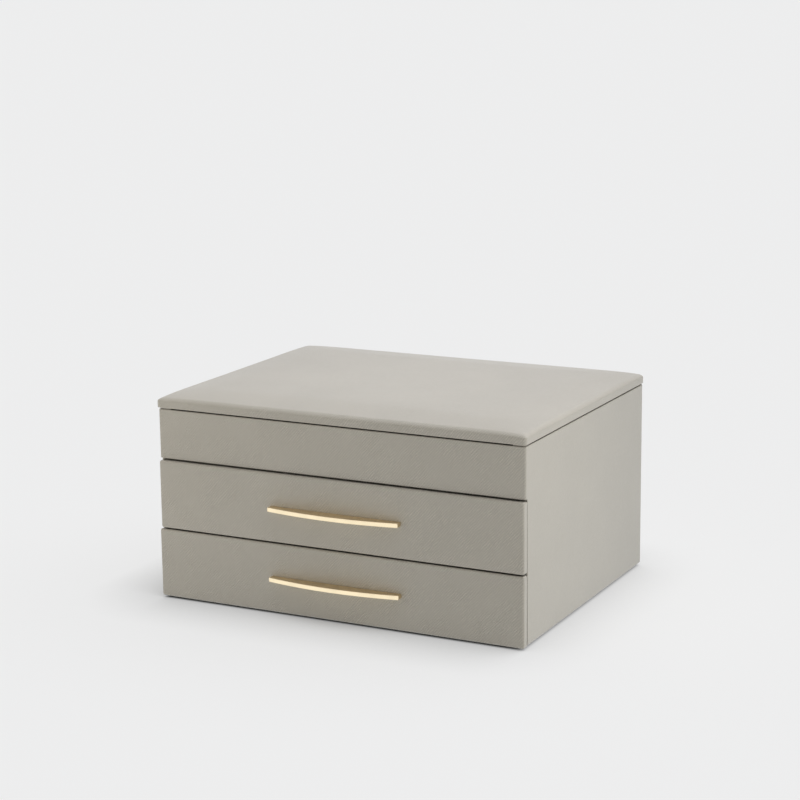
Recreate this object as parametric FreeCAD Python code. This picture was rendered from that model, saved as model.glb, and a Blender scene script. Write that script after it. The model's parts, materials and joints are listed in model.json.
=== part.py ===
import FreeCAD, Part
import math
import os

from FreeCAD import Vector

# Jewellery chest: a wrapped board case with a lined tray under a padded, hinged lid, and two drawers.
# X runs along the front, the front faces -Y and Z is up. The origin is the centre of the case's
# footprint, on the face it stands on. Every length is in millimetres.

# --- Overall sizes -------------------------------------------------------------------------------
width = 280.0  # across the front, over the leatherette
depth = 214.0  # tray front to back, over the leatherette
half_width = width / 2
half_depth = depth / 2

# --- Sheet materials -----------------------------------------------------------------------------
leather = 0.8  # leatherette wrap
turn_under = 10.0  # leatherette glued under the lid's edge and under the case's
board = 7.0  # side, back and tray front boards
thin_board = 4.0  # base, shelf and tray floor boards
felt = 1.5  # felt under the base
felt_inset = 3.0
rim_pad = 8.5  # side of the small felt pads on the rim's corners, which the lid rests on
rim_pad_inset = 1.0
rim_pad_height = 0.8
velvet_wall = 1.5  # velvet-covered card on the tray's walls
velvet_floor = 1.5

# --- Heights -------------------------------------------------------------------------------------
lower_front_z = (felt, 50.8)
upper_front_z = (51.8, 100.5)
tray_front_bottom = 102.0
rim_z = 137.05  # top of the case
shelf_top = 53.3
lid_gap = 0.9

# --- Rounding of the wrap ------------------------------------------------------------------------
back_corner_radius = 2.5
tray_corner_radius = 1.5
bottom_radius = 2.0  # bottom edges of the sides and the back
fold_radius = 0.75  # where the leatherette folds over an edge
front_round = 1.4  # rim and corners of a drawer front

# --- Drawers -------------------------------------------------------------------------------------
front_step = 3.0  # the case stops this far behind the tray front, beside the drawers
front_proud = 2.8  # a drawer front stands this far before the tray front
front_thickness = 5.0
front_x = {"upper": (-139.2, 140.0), "lower": (-140.4, 140.0)}
drawer_wall = 4.0
drawer_bottom = 3.0
drawer_side_gap = 0.7
drawer_floor_gap = 0.3
drawer_back_gap = 0.3
drawer_box_height = {"upper": 43.7, "lower": 41.2}
drawer_lining_wall = 1.2
drawer_lining_floor = 1.5
drawer_divider_height = 28.0

# --- Handles: flat brass plates, bowed in front --------------------------------------------------
handle_length = 100.0
handle_x = 0.7  # the pulls' middle
handle_thickness = 3.0
handle_end_depth = 4.8
handle_mid_depth = 9.8
handle_edge_round = 0.25
handle_screw_x = 35.0
handle_screw_radius = 1.0
handle_screw_bite = 3.8  # length of thread inside the plate
handle_screw_head_radius = 1.9
handle_screw_head_height = 1.1

# --- Tray fittings -------------------------------------------------------------------------------
divider = 3.0  # velvet-covered divider
tray_divider_top = 129.0
tray_divider_y = 8.0
tray_divider_x = 44.0
ring_roll_count = 6
ring_roll_height = 19.0
ring_roll_gap = 0.2
ring_roll_round = 7.5

# --- Lid -----------------------------------------------------------------------------------------
lid_overhang = 0.5
lid_board = 4.5
lid_straight = 4.7  # straight part of the lid's edge, above which the padding rolls in
lid_corner_radius = 2.5
lid_roll = (  # (in from the edge, up)
    (0.0, 0.0), (1.2, 1.35), (3.0, 2.55), (6.0, 3.6), (20.0, 4.6), (40.0, 4.85),
)
lid_lining_edge = 11.0  # lining's distance in from the lid's edge
lid_lining_thickness = 2.25
mirror_half_x = 95.0
mirror_half_y = 65.0
mirror_thickness = 2.0
mirror_clearance = 0.2

# --- Hinges: a pair of small stop hinges ---------------------------------------------------------
hinge_x = 80.0  # each side of the middle
hinge_length = 30.0
hinge_leaf = 0.8
hinge_barrel_radius = 1.8
hinge_pin_radius = 0.8
hinge_running_gap = 0.05  # between the pin and the lid's knuckle
hinge_knuckle = 10.0  # length of the lid's knuckle, at the middle
hinge_knuckle_gap = 0.2
hinge_behind_case = 2.4  # axis behind the case's back
hinge_leaf_inset = 7.4  # leaf's front edge, in from the case's back
hinge_notch_gap = 0.3
hinge_stop_radius = 2.85
hinge_stop_thickness = 1.0
hinge_stop_angle = -35.0  # degrees below +Y with the lid shut; it meets the back at 100 degrees open
hinge_screw_spacing = 20.0
hinge_screw_radius = 0.8
hinge_screw_head_radius = 1.6
case_screw_length = 7.0
lid_screw_length = 4.5

# --- Worked out ----------------------------------------------------------------------------------
case_bottom = felt
board_outer_x = half_width - leather
board_inner_x = board_outer_x - board
board_outer_y = half_depth - leather
board_inner_y = board_outer_y - board
edge_front_y = -half_depth + front_step  # face of the case's edge beside the drawers
edge_board_y = edge_front_y + leather
board_bottom = case_bottom + leather
board_top = rim_z - leather
base_top = board_bottom + thin_board
shelf_bottom = shelf_top - thin_board
tray_floor_top = tray_front_bottom + leather
tray_floor_bottom = tray_floor_top - thin_board
tray_velvet_top = tray_floor_top + velvet_floor
tray_inner_x = board_inner_x - velvet_wall
tray_inner_y = board_inner_y - velvet_wall

front_face_y = -half_depth - front_proud
front_back_y = front_face_y + front_thickness
drawer_outer_x = board_inner_x - drawer_side_gap
drawer_inner_x = drawer_outer_x - drawer_wall
drawer_back_y = board_inner_y - drawer_back_gap
drawer_inner_back_y = drawer_back_y - drawer_wall
drawer_floor_z = {"upper": shelf_top + drawer_floor_gap, "lower": base_top + drawer_floor_gap}
drawer_front_z = {"upper": upper_front_z, "lower": lower_front_z}

lid_bottom = rim_z + lid_gap
lid_half_x = half_width + lid_overhang
lid_half_y = half_depth + lid_overhang
lid_board_bottom = lid_bottom + leather
lid_board_top = lid_board_bottom + lid_board
lid_top = lid_bottom + lid_straight + lid_roll[-1][1]

hinge_axis_y = half_depth + hinge_behind_case
hinge_axis_z = rim_z + lid_gap / 2
hinge_leaf_front = half_depth - hinge_leaf_inset
hinge_screw_y = (hinge_leaf_front + half_depth) / 2


# --- Shape helpers -------------------------------------------------------------------------------
def block(x, y, z):
    """A box between the given (low, high) pairs."""
    size = (x[1] - x[0], y[1] - y[0], z[1] - z[0])
    return Part.makeBox(*size, Vector(x[0], y[0], z[0]))


def round_edges(solid, radius, chosen):
    """The solid with the straight edges that chosen(start, end) picks rounded."""
    edges = []
    for edge in solid.Edges:
        if len(edge.Vertexes) == 2 and chosen(edge.Vertexes[0].Point, edge.Vertexes[1].Point):
            edges.append(edge)
    return solid.makeFillet(radius, edges)


def same(a, b):
    return abs(a - b) < 1e-4


def is_upright(start, end):
    return same(start.x, end.x) and same(start.y, end.y)


def rounded_rectangle(half_x, half_y, radius, z):
    """A closed wire at height z, with round corners."""
    centre_x = half_x - radius
    centre_y = half_y - radius
    corners = ((1, -1, 270), (1, 1, 0), (-1, 1, 90), (-1, -1, 180))
    arcs = []
    for sign_x, sign_y, start in corners:
        circle = Part.Circle(Vector(sign_x * centre_x, sign_y * centre_y, z), Vector(0, 0, 1), radius)
        arcs.append(Part.Arc(circle, math.radians(start), math.radians(start + 90)).toShape())
    edges = []
    for index, arc in enumerate(arcs):
        following = arcs[(index + 1) % len(arcs)]
        edges.append(arc)
        edges.append(Part.makeLine(arc.Vertexes[-1].Point, following.Vertexes[0].Point))
    return Part.Wire(edges)


def rod(radius, start, direction, length):
    return Part.makeCylinder(radius, length, start, direction)


def fuse(solids):
    joined = solids[0]
    for solid in solids[1:]:
        joined = joined.fuse(solid)
    return joined.removeSplitter()


# --- Case ----------------------------------------------------------------------------------------
def stepped_prism(grow):
    """The case's outline, stepped back beside the drawers; grow is how far outside the boards."""
    front = -board_outer_y - grow
    step = edge_board_y - grow
    back = board_outer_y + grow
    bottom = board_bottom - grow
    ledge = tray_floor_top - grow
    top = board_top + grow
    half = board_outer_x + grow
    outline = ((step, bottom), (back, bottom), (back, top), (front, top), (front, ledge), (step, ledge))
    points = [Vector(-half, y, z) for y, z in outline]
    face = Part.Face(Part.makePolygon(points + points[:1]))
    prism = face.extrude(Vector(2 * half, 0, 0))

    def at_back(start, end):
        return is_upright(start, end) and same(start.y, back)

    def at_tray_front(start, end):
        return is_upright(start, end) and same(start.y, front)

    def at_bottom(start, end):
        at_front = same(start.y, step) and same(end.y, step)
        return same(start.z, bottom) and same(end.z, bottom) and not at_front

    prism = round_edges(prism, back_corner_radius - leather + grow, at_back)
    prism = round_edges(prism, tray_corner_radius - leather + grow, at_tray_front)
    return round_edges(prism, bottom_radius - leather + grow, at_bottom)


def side_board(sign):
    x = sorted((sign * board_inner_x, sign * board_outer_x))
    lower = block(x, (edge_board_y, board_outer_y), (board_bottom, tray_floor_top))
    upper = block(x, (-board_inner_y, board_outer_y), (tray_floor_top, board_top))
    return fuse([lower, upper]).common(stepped_prism(0.0))


def back_board():
    x = (-board_inner_x, board_inner_x)
    panel = block(x, (board_inner_y, board_outer_y), (board_bottom, board_top))
    panel = panel.common(stepped_prism(0.0))
    for screw_x in hinge_screw_places():
        top = Vector(screw_x, hinge_screw_y, rim_z)
        panel = panel.cut(rod(hinge_screw_radius, top, Vector(0, 0, -1), case_screw_length))
    return panel


def tray_front_board():
    x = (-board_outer_x, board_outer_x)
    panel = block(x, (-board_outer_y, -board_inner_y), (tray_floor_top, board_top))
    return panel.common(stepped_prism(0.0))


def level_board(top):
    """A thin board across the case: its base, the shelf between the drawers or the tray's floor."""
    x = (-board_inner_x, board_inner_x)
    return block(x, (edge_board_y, board_inner_y), (top - thin_board, top))


def case_cover():
    """Leatherette round the outside, over the rim, the tray front's lower edge and the front edges."""
    skin = stepped_prism(leather).cut(stepped_prism(0.0))
    inner_x = (-board_inner_x, board_inner_x)
    inner_y = (-board_inner_y, board_inner_y)
    front_y = (edge_front_y, edge_board_y)
    under_x = (-half_width + turn_under, half_width - turn_under)
    under_y = (edge_front_y + turn_under, half_depth - turn_under)
    openings = [
        block(inner_x, inner_y, (board_top, rim_z)),
        block(inner_x, front_y, (base_top, shelf_bottom)),
        block(inner_x, front_y, (shelf_top, tray_floor_bottom)),
        block(under_x, under_y, (case_bottom, board_bottom)),
    ]
    for sign in (-1, 1):
        openings.append(hinge_pocket(sign * hinge_x, (board_top, rim_z)))
    for opening in openings:
        skin = skin.cut(opening)

    def at_rim(start, end):
        on_rim = same(start.z, rim_z) and same(end.z, rim_z)
        at_side = same(abs(start.x), half_width) and same(start.x, end.x)
        at_front = same(start.y, -half_depth) and same(end.y, -half_depth)
        return on_rim and (at_side or at_front)

    return round_edges(skin, fold_radius, at_rim)


def base_felt():
    x = (-half_width + felt_inset, half_width - felt_inset)
    y = (edge_front_y + felt_inset, half_depth - felt_inset)
    return round_edges(block(x, y, (0.0, felt)), back_corner_radius, is_upright)


def rim_pads():
    """Four small felt pads on the rim's corners, for the lid to rest on."""
    z = (rim_z, rim_z + rim_pad_height)
    pads = []
    for sign_x in (-1, 1):
        for sign_y in (-1, 1):
            outer_x = sign_x * (half_width - rim_pad_inset)
            outer_y = sign_y * (half_depth - rim_pad_inset)
            x = sorted((outer_x, outer_x - sign_x * rim_pad))
            y = sorted((outer_y, outer_y - sign_y * rim_pad))
            pads.append(round_edges(block(x, y, z), 1.0, is_upright))
    return Part.makeCompound(pads)


# --- Tray ----------------------------------------------------------------------------------------
def tray_floor_lining():
    x = (-board_inner_x, board_inner_x)
    return block(x, (-board_inner_y, board_inner_y), (tray_floor_top, tray_velvet_top))


def tray_side_lining(sign):
    x = sorted((sign * tray_inner_x, sign * board_inner_x))
    return block(x, (-board_inner_y, board_inner_y), (tray_velvet_top, board_top))


def tray_end_lining(sign):
    y = sorted((sign * tray_inner_y, sign * board_inner_y))
    return block((-tray_inner_x, tray_inner_x), y, (tray_velvet_top, board_top))


def divider_along_x(x, y, z, crossings):
    """A divider running along X, slotted from the top where others cross it."""
    panel = block(x, (y - divider / 2, y + divider / 2), z)
    middle = (z[0] + z[1]) / 2
    for place in crossings:
        slot_x = (place - divider / 2, place + divider / 2)
        panel = panel.cut(block(slot_x, (y - divider, y + divider), (middle, z[1])))
    return panel


def divider_along_y(x, y, z, crossings):
    """A divider running along Y, slotted from below where it straddles others."""
    panel = block((x - divider / 2, x + divider / 2), y, z)
    middle = (z[0] + z[1]) / 2
    for place in crossings:
        slot_y = (place - divider / 2, place + divider / 2)
        panel = panel.cut(block((x - divider, x + divider), slot_y, (z[0], middle)))
    return panel


def tray_long_divider():
    x = (-tray_inner_x, tray_inner_x)
    z = (tray_velvet_top, tray_divider_top)
    return divider_along_x(x, tray_divider_y, z, (-tray_divider_x, tray_divider_x))


def tray_cross_divider(sign):
    y = (-tray_inner_y, tray_inner_y)
    z = (tray_velvet_top, tray_divider_top)
    return divider_along_y(sign * tray_divider_x, y, z, (tray_divider_y,))


def ring_roll(x, y, z):
    """One roll, rounded along its top."""
    def on_top(start, end):
        return same(start.z, z[1]) and same(end.z, z[1]) and same(start.y, end.y)

    return round_edges(block(x, y, z), ring_roll_round, on_top)


def ring_rolls():
    """Padded rolls side by side in the front left compartment; rings stand in the gaps between them."""
    x = (-tray_inner_x + ring_roll_gap, -tray_divider_x - divider / 2 - ring_roll_gap)
    front = -tray_inner_y
    pitch = (tray_divider_y - divider / 2 - front) / ring_roll_count
    z = (tray_velvet_top, tray_velvet_top + ring_roll_height)
    rolls = []
    for index in range(ring_roll_count):
        low = front + index * pitch + ring_roll_gap / 2
        rolls.append(ring_roll(x, (low, low + pitch - ring_roll_gap), z))
    return Part.makeCompound(rolls)


# --- Lid -----------------------------------------------------------------------------------------
def lid_form(inset):
    """The lid's padded outline, drawn in by inset at its sides and top."""
    half_x = lid_half_x - inset
    half_y = lid_half_y - inset
    radius = lid_corner_radius - inset
    edge_z = lid_bottom + lid_straight - inset / 2
    wires = [rounded_rectangle(half_x, half_y, radius, lid_bottom + inset)]
    for across, up in lid_roll:
        drop = inset / 2 if across else 0.0
        wires.append(rounded_rectangle(half_x - across, half_y - across, radius, edge_z + up - drop))
    return Part.makeLoft(wires, True, True)


def lid_board_panel():
    whole = block((-lid_half_x, lid_half_x), (-lid_half_y, lid_half_y), (lid_board_bottom, lid_board_top))
    panel = lid_form(leather).common(whole)
    for screw_x in hinge_screw_places():
        foot = Vector(screw_x, hinge_screw_y, lid_bottom)
        panel = panel.cut(rod(hinge_screw_radius, foot, Vector(0, 0, 1), lid_screw_length))
    return panel


def lid_foam():
    above = block((-lid_half_x, lid_half_x), (-lid_half_y, lid_half_y), (lid_board_top, lid_top))
    return lid_form(leather).common(above)


def lid_cover():
    """Leatherette over the padding, down the edge and glued under it all round."""
    skin = lid_form(0.0).cut(lid_form(leather))
    under_x = (-lid_half_x + turn_under, lid_half_x - turn_under)
    under_y = (-lid_half_y + turn_under, lid_half_y - turn_under)
    skin = skin.cut(block(under_x, under_y, (lid_bottom, lid_board_bottom)))
    for sign in (-1, 1):
        skin = skin.cut(hinge_pocket(sign * hinge_x, (lid_bottom, lid_board_bottom)))
    return skin


def lid_lining():
    """Velvet-covered panel inside the lid, with a window for the mirror."""
    half_x = lid_half_x - lid_lining_edge
    half_y = lid_half_y - lid_lining_edge
    z = (lid_board_bottom - lid_lining_thickness, lid_board_bottom)
    panel = round_edges(block((-half_x, half_x), (-half_y, half_y), z), lid_corner_radius, is_upright)
    window = block((-mirror_half_x, mirror_half_x), (-mirror_half_y, mirror_half_y), z)
    return panel.cut(window)


def lid_mirror():
    half_x = mirror_half_x - mirror_clearance
    half_y = mirror_half_y - mirror_clearance
    z = (lid_board_bottom - mirror_thickness, lid_board_bottom)
    return block((-half_x, half_x), (-half_y, half_y), z)


# --- Hinges --------------------------------------------------------------------------------------
def hinge_screw_places():
    places = []
    for middle in (-hinge_x, hinge_x):
        places.append(middle - hinge_screw_spacing / 2)
        places.append(middle + hinge_screw_spacing / 2)
    return places


def hinge_pocket(middle, z):
    """The leatherette cut away under one leaf."""
    x = (middle - hinge_length / 2, middle + hinge_length / 2)
    return block(x, (hinge_leaf_front, half_depth + hinge_behind_case), z)


def knuckle(middle, x_from, x_to, bore):
    start = Vector(middle + x_from, hinge_axis_y, hinge_axis_z)
    barrel = rod(hinge_barrel_radius, start, Vector(1, 0, 0), x_to - x_from)
    return barrel.cut(rod(bore, start, Vector(1, 0, 0), x_to - x_from))


def countersink(solid, screw_x, face_z, up):
    """The solid less one countersunk screw whose head is flush with face_z."""
    return solid.cut(screw(Vector(screw_x, hinge_screw_y, face_z), Vector(0, 0, up), hinge_leaf,
                           hinge_screw_head_radius, hinge_leaf, hinge_screw_radius))


def case_leaf(middle):
    """The leaf let into the rim, with the two outer knuckles."""
    half = hinge_length / 2
    near = hinge_knuckle / 2 + hinge_knuckle_gap
    z = (board_top, board_top + hinge_leaf)
    plate = block((middle - half, middle + half), (hinge_leaf_front, hinge_axis_y), z)
    notch_y = (half_depth + hinge_notch_gap, hinge_axis_y)
    plate = plate.cut(block((middle - near, middle + near), notch_y, z))
    leaf = fuse([
        plate.cut(hinge_pin(middle)),
        knuckle(middle, -half, -near, hinge_pin_radius),
        knuckle(middle, near, half, hinge_pin_radius),
    ])
    for screw_x in (middle - hinge_screw_spacing / 2, middle + hinge_screw_spacing / 2):
        leaf = countersink(leaf, screw_x, rim_z, -1)
    return leaf


def lid_leaf(middle):
    """The leaf let into the lid's underside, with the middle knuckle and its stop lug."""
    half = hinge_length / 2
    near = hinge_knuckle / 2
    z = (lid_board_bottom - hinge_leaf, lid_board_bottom)
    plate = block((middle - half, middle + half), (hinge_leaf_front, hinge_axis_y), z)
    notch_y = (half_depth + hinge_notch_gap, hinge_axis_y)
    for side in ((middle - half, middle - near), (middle + near, middle + half)):
        plate = plate.cut(block(side, notch_y, z))
    bore_radius = hinge_pin_radius + hinge_running_gap
    start = Vector(middle - near, hinge_axis_y, hinge_axis_z)
    bore = rod(bore_radius, start, Vector(1, 0, 0), hinge_knuckle)
    lug_y = (hinge_axis_y, hinge_axis_y + hinge_stop_radius)
    lug_z = (hinge_axis_z - hinge_stop_thickness / 2, hinge_axis_z + hinge_stop_thickness / 2)
    lug = block((middle - near, middle + near), lug_y, lug_z)
    lug.rotate(start, Vector(1, 0, 0), hinge_stop_angle)
    leaf = fuse([plate, knuckle(middle, -near, near, bore_radius), lug]).cut(bore)
    for screw_x in (middle - hinge_screw_spacing / 2, middle + hinge_screw_spacing / 2):
        leaf = countersink(leaf, screw_x, lid_bottom, 1)
    return leaf


def hinge_pin(middle):
    start = Vector(middle - hinge_length / 2, hinge_axis_y, hinge_axis_z)
    return rod(hinge_pin_radius, start, Vector(1, 0, 0), hinge_length)


def screw(head, direction, length, head_radius, head_height, shank_radius):
    """A countersunk screw: its flat head centred at head, its shank along direction."""
    cone = Part.makeCone(head_radius, shank_radius, head_height, head, direction)
    if length > head_height:
        neck = head + direction * head_height
        cone = cone.fuse(rod(shank_radius, neck, direction, length - head_height))
    return cone.removeSplitter()


def hinge_screws(face_z, up, length):
    screws = []
    for screw_x in hinge_screw_places():
        head = Vector(screw_x, hinge_screw_y, face_z)
        screws.append(screw(head, Vector(0, 0, up), length, hinge_screw_head_radius, hinge_leaf,
                            hinge_screw_radius))
    return Part.makeCompound(screws)


# --- Drawers -------------------------------------------------------------------------------------
def front_block(level, inset):
    """A drawer front's block, drawn in by inset at its face and its four edges."""
    low, high = drawer_front_z[level]
    left, right = front_x[level]
    y = (front_face_y + inset, front_back_y)
    return block((left + inset, right - inset), y, (low + inset, high - inset))


def handle_screw_holes(solid, level):
    for one in handle_screws(level).Solids:
        solid = solid.cut(one)
    return solid


def drawer_front_board(level):
    return handle_screw_holes(front_block(level, leather), level)


def drawer_front_cover(level):
    """Leatherette over the drawer front's face and round its four edges."""
    def at_corner(start, end):
        return not same(start.y, end.y)

    outside = round_edges(front_block(level, 0.0), front_round, at_corner)
    face_edges = [edge for edge in outside.Edges if same(edge.BoundBox.YMax, front_face_y)]
    outside = outside.makeFillet(front_round, face_edges)
    return handle_screw_holes(outside.cut(front_block(level, leather)), level)


def drawer_box_z(level):
    floor_z = drawer_floor_z[level]
    return floor_z, floor_z + drawer_box_height[level]


def drawer_side(level, sign):
    x = sorted((sign * drawer_inner_x, sign * drawer_outer_x))
    return block(x, (front_back_y, drawer_back_y), drawer_box_z(level))


def drawer_back(level):
    x = (-drawer_inner_x, drawer_inner_x)
    return block(x, (drawer_inner_back_y, drawer_back_y), drawer_box_z(level))


def drawer_bottom_panel(level):
    low = drawer_floor_z[level]
    x = (-drawer_inner_x, drawer_inner_x)
    return block(x, (front_back_y, drawer_inner_back_y), (low, low + drawer_bottom))


def drawer_lining(level):
    """Velvet-covered card standing inside the drawer, open at the top."""
    low, high = drawer_box_z(level)
    outside = block((-drawer_inner_x, drawer_inner_x), (front_back_y, drawer_inner_back_y),
                    (low + drawer_bottom, high))
    return outside.cut(block(*drawer_hollow(level)))


def drawer_hollow(level):
    """(x, y, z) limits of the space inside a drawer's lining."""
    low, high = drawer_box_z(level)
    half_x = drawer_inner_x - drawer_lining_wall
    y = (front_back_y + drawer_lining_wall, drawer_inner_back_y - drawer_lining_wall)
    return (-half_x, half_x), y, (low + drawer_bottom + drawer_lining_floor, high)


def drawer_divider_z(level):
    floor_z = drawer_hollow(level)[2][0]
    return floor_z, floor_z + drawer_divider_height


def drawer_middle_y():
    y = drawer_hollow("upper")[1]
    return (y[0] + y[1]) / 2


def upper_cross_places():
    x = drawer_hollow("upper")[0]
    quarter = (x[1] - x[0]) / 4
    return [-quarter, 0.0, quarter]


def upper_long_divider():
    x = drawer_hollow("upper")[0]
    return divider_along_x(x, drawer_middle_y(), drawer_divider_z("upper"), upper_cross_places())


def upper_cross_dividers():
    y = drawer_hollow("upper")[1]
    z = drawer_divider_z("upper")
    return Part.makeCompound([divider_along_y(x, y, z, (drawer_middle_y(),)) for x in upper_cross_places()])


def lower_divider():
    x, y, _ = drawer_hollow("lower")
    place = x[0] + (x[1] - x[0]) * 2 / 3
    return divider_along_y(place, y, drawer_divider_z("lower"), ())


def handle_z(level):
    low, high = drawer_front_z[level]
    return (low + high) / 2


def handle(level):
    """A flat plate, straight against the drawer front, with square ends and a bowed front edge."""
    left = handle_x - handle_length / 2
    right = handle_x + handle_length / 2
    low = handle_z(level) - handle_thickness / 2
    end_y = front_face_y - handle_end_depth
    corners = [
        Vector(left, front_face_y, low),
        Vector(left, end_y, low),
        Vector(right, end_y, low),
        Vector(right, front_face_y, low),
    ]
    middle = Vector(handle_x, front_face_y - handle_mid_depth, low)
    bow = Part.Arc(corners[1], middle, corners[2]).toShape()
    outline = Part.Wire([
        Part.makeLine(corners[0], corners[1]),
        bow,
        Part.makeLine(corners[2], corners[3]),
        Part.makeLine(corners[3], corners[0]),
    ])
    plate = Part.Face(outline).extrude(Vector(0, 0, handle_thickness))
    plate = plate.makeFillet(handle_edge_round, plate.Edges)
    return handle_screw_holes(plate, level)


def handle_screws(level):
    """Two countersunk screws from inside the drawer into the plate's straight edge."""
    length = front_thickness + handle_screw_bite
    screws = []
    for sign in (-1, 1):
        head = Vector(handle_x + sign * handle_screw_x, front_back_y, handle_z(level))
        screws.append(screw(head, Vector(0, -1, 0), length, handle_screw_head_radius,
                            handle_screw_head_height, handle_screw_radius))
    return Part.makeCompound(screws)


# --- Every sub-part ------------------------------------------------------------------------------
def drawer_parts(level):
    name = level + "_drawer_"
    return {
        name + "front_board": drawer_front_board(level),
        name + "front_cover": drawer_front_cover(level),
        name + "side_left": drawer_side(level, -1),
        name + "side_right": drawer_side(level, 1),
        name + "back": drawer_back(level),
        name + "bottom": drawer_bottom_panel(level),
        name + "lining": drawer_lining(level),
        name + "handle": handle(level),
        name + "handle_screws": handle_screws(level),
    }


def all_parts():
    parts = {
        "side_board_left": side_board(-1),
        "side_board_right": side_board(1),
        "back_board": back_board(),
        "tray_front_board": tray_front_board(),
        "base_board": level_board(base_top),
        "drawer_shelf_board": level_board(shelf_top),
        "tray_floor_board": level_board(tray_floor_top),
        "case_cover": case_cover(),
        "base_felt": base_felt(),
        "rim_pads": rim_pads(),
        "tray_floor_lining": tray_floor_lining(),
        "tray_lining_left": tray_side_lining(-1),
        "tray_lining_right": tray_side_lining(1),
        "tray_lining_front": tray_end_lining(-1),
        "tray_lining_back": tray_end_lining(1),
        "tray_divider_long": tray_long_divider(),
        "tray_divider_left": tray_cross_divider(-1),
        "tray_divider_right": tray_cross_divider(1),
        "ring_rolls": ring_rolls(),
        "case_hinge_leaf_left": case_leaf(-hinge_x),
        "case_hinge_leaf_right": case_leaf(hinge_x),
        "hinge_pin_left": hinge_pin(-hinge_x),
        "hinge_pin_right": hinge_pin(hinge_x),
        "case_hinge_screws": hinge_screws(rim_z, -1, case_screw_length),
        "lid_board": lid_board_panel(),
        "lid_foam": lid_foam(),
        "lid_cover": lid_cover(),
        "lid_lining": lid_lining(),
        "lid_mirror": lid_mirror(),
        "lid_hinge_leaf_left": lid_leaf(-hinge_x),
        "lid_hinge_leaf_right": lid_leaf(hinge_x),
        "lid_hinge_screws": hinge_screws(lid_bottom, 1, lid_screw_length),
    }
    for level in ("upper", "lower"):
        parts.update(drawer_parts(level))
    parts["upper_drawer_divider_long"] = upper_long_divider()
    parts["upper_drawer_dividers_cross"] = upper_cross_dividers()
    parts["lower_drawer_divider"] = lower_divider()
    return parts


os.makedirs("parts", exist_ok=True)
for node, shape in all_parts().items():
    shape.exportStep("parts/" + node + ".step")
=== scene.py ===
import json
import math

import bmesh
import bpy
from mathutils import Matrix, Vector, noise

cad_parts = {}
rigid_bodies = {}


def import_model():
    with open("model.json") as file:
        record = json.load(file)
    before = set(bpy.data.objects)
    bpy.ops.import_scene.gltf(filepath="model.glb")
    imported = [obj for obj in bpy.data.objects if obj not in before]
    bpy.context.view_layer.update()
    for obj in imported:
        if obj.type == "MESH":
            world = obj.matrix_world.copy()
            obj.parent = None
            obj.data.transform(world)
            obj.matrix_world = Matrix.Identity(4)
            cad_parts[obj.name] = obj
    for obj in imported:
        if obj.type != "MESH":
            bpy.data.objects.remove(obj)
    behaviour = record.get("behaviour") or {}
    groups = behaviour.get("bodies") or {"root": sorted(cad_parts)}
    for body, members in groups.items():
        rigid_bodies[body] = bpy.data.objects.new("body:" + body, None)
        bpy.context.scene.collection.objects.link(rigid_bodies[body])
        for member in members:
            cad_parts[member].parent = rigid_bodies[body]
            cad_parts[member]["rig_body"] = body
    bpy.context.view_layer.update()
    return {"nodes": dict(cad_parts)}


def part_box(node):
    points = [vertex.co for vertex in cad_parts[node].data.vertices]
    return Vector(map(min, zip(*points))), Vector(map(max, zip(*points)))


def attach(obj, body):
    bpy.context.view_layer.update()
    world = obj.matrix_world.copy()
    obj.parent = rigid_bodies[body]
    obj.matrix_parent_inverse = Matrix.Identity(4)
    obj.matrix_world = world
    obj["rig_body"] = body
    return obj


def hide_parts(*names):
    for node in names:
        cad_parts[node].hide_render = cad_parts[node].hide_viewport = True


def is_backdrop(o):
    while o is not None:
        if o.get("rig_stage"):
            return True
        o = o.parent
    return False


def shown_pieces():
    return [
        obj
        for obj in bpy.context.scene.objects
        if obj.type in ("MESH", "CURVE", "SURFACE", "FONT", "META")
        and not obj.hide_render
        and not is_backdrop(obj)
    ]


# Jewellery chest: the looks of a wrapped case with a padded lid, a velvet-lined tray and two drawers.
# Lengths are in metres in the CAD's frame; MM turns a length in millimetres into metres.
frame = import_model()

MM = 0.001
NOISE_SEED = 7  # noise vectors are seeded by the clock otherwise
noise.seed_set(NOISE_SEED)

# --- Camera: fitted to the chest's straight edges ---
CAMERA_PLACE = (0.66762, -1.31813, 0.45811)
CAMERA_YAW = -27.0237  # degrees, turned from +Y towards +X
CAMERA_PITCH = 12.3631  # degrees below the horizon
CAMERA_ROLL = -0.6866
CAMERA_SENSOR = 36.0  # width in millimetres
CAMERA_LENS = 95.22
CAMERA_REACH = 200.0

# --- Light: a pale studio, brightest overhead ---
BACKDROP = (0.855, 0.855, 0.855)
SKY_BASE = (0.105, 0.102, 0.096)
# A patch of light in the surround: its direction, half the width of its even part and the width of
# its soft edge in degrees, and its colour.
SOFTBOX = ((0.20, 0.28, 0.94), 30.0, 30.0, (1.30, 1.32, 1.39))
SHEEN_BAND = ((-0.35, 0.93, 0.05), 12.0, 30.0, (0.30, 0.31, 0.36))  # only shiny surfaces see it
GLOSSY_BASE = (0.58, 0.58, 0.59)  # what shiny surfaces see above the horizon besides
BELOW = (1.14, 1.20, 1.27)  # what shiny surfaces see below the horizon
CHEST_LAMPS = (  # place, point it is aimed at, watts, colour
    ((-0.42, -0.40, 0.25), (-0.11, -0.10, 0.08), 0.12, (1.00, 0.95, 0.86)),
    ((0.45, -0.07, 0.26), (0.14, -0.11, 0.08), 0.085, (1.00, 0.98, 0.94)),
    ((0.00, 0.02, 0.48), (0.01, 0.02, 0.15), 0.05, (0.98, 0.99, 1.00)),
)
LAMP_SIZE = 0.25
LAMP_SPREAD = 80.0  # degrees
FLOOR_SIZE = 60.0
FLOOR_COLOUR = (0.25, 0.25, 0.24375)
FLOOR_GLOW = 0.66  # the floor's own brightness, which keeps the chest's shadow light
FLOOR_SHADE_REACH = 0.06  # how far from the chest that glow is dimmed as a painted shadow
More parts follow.
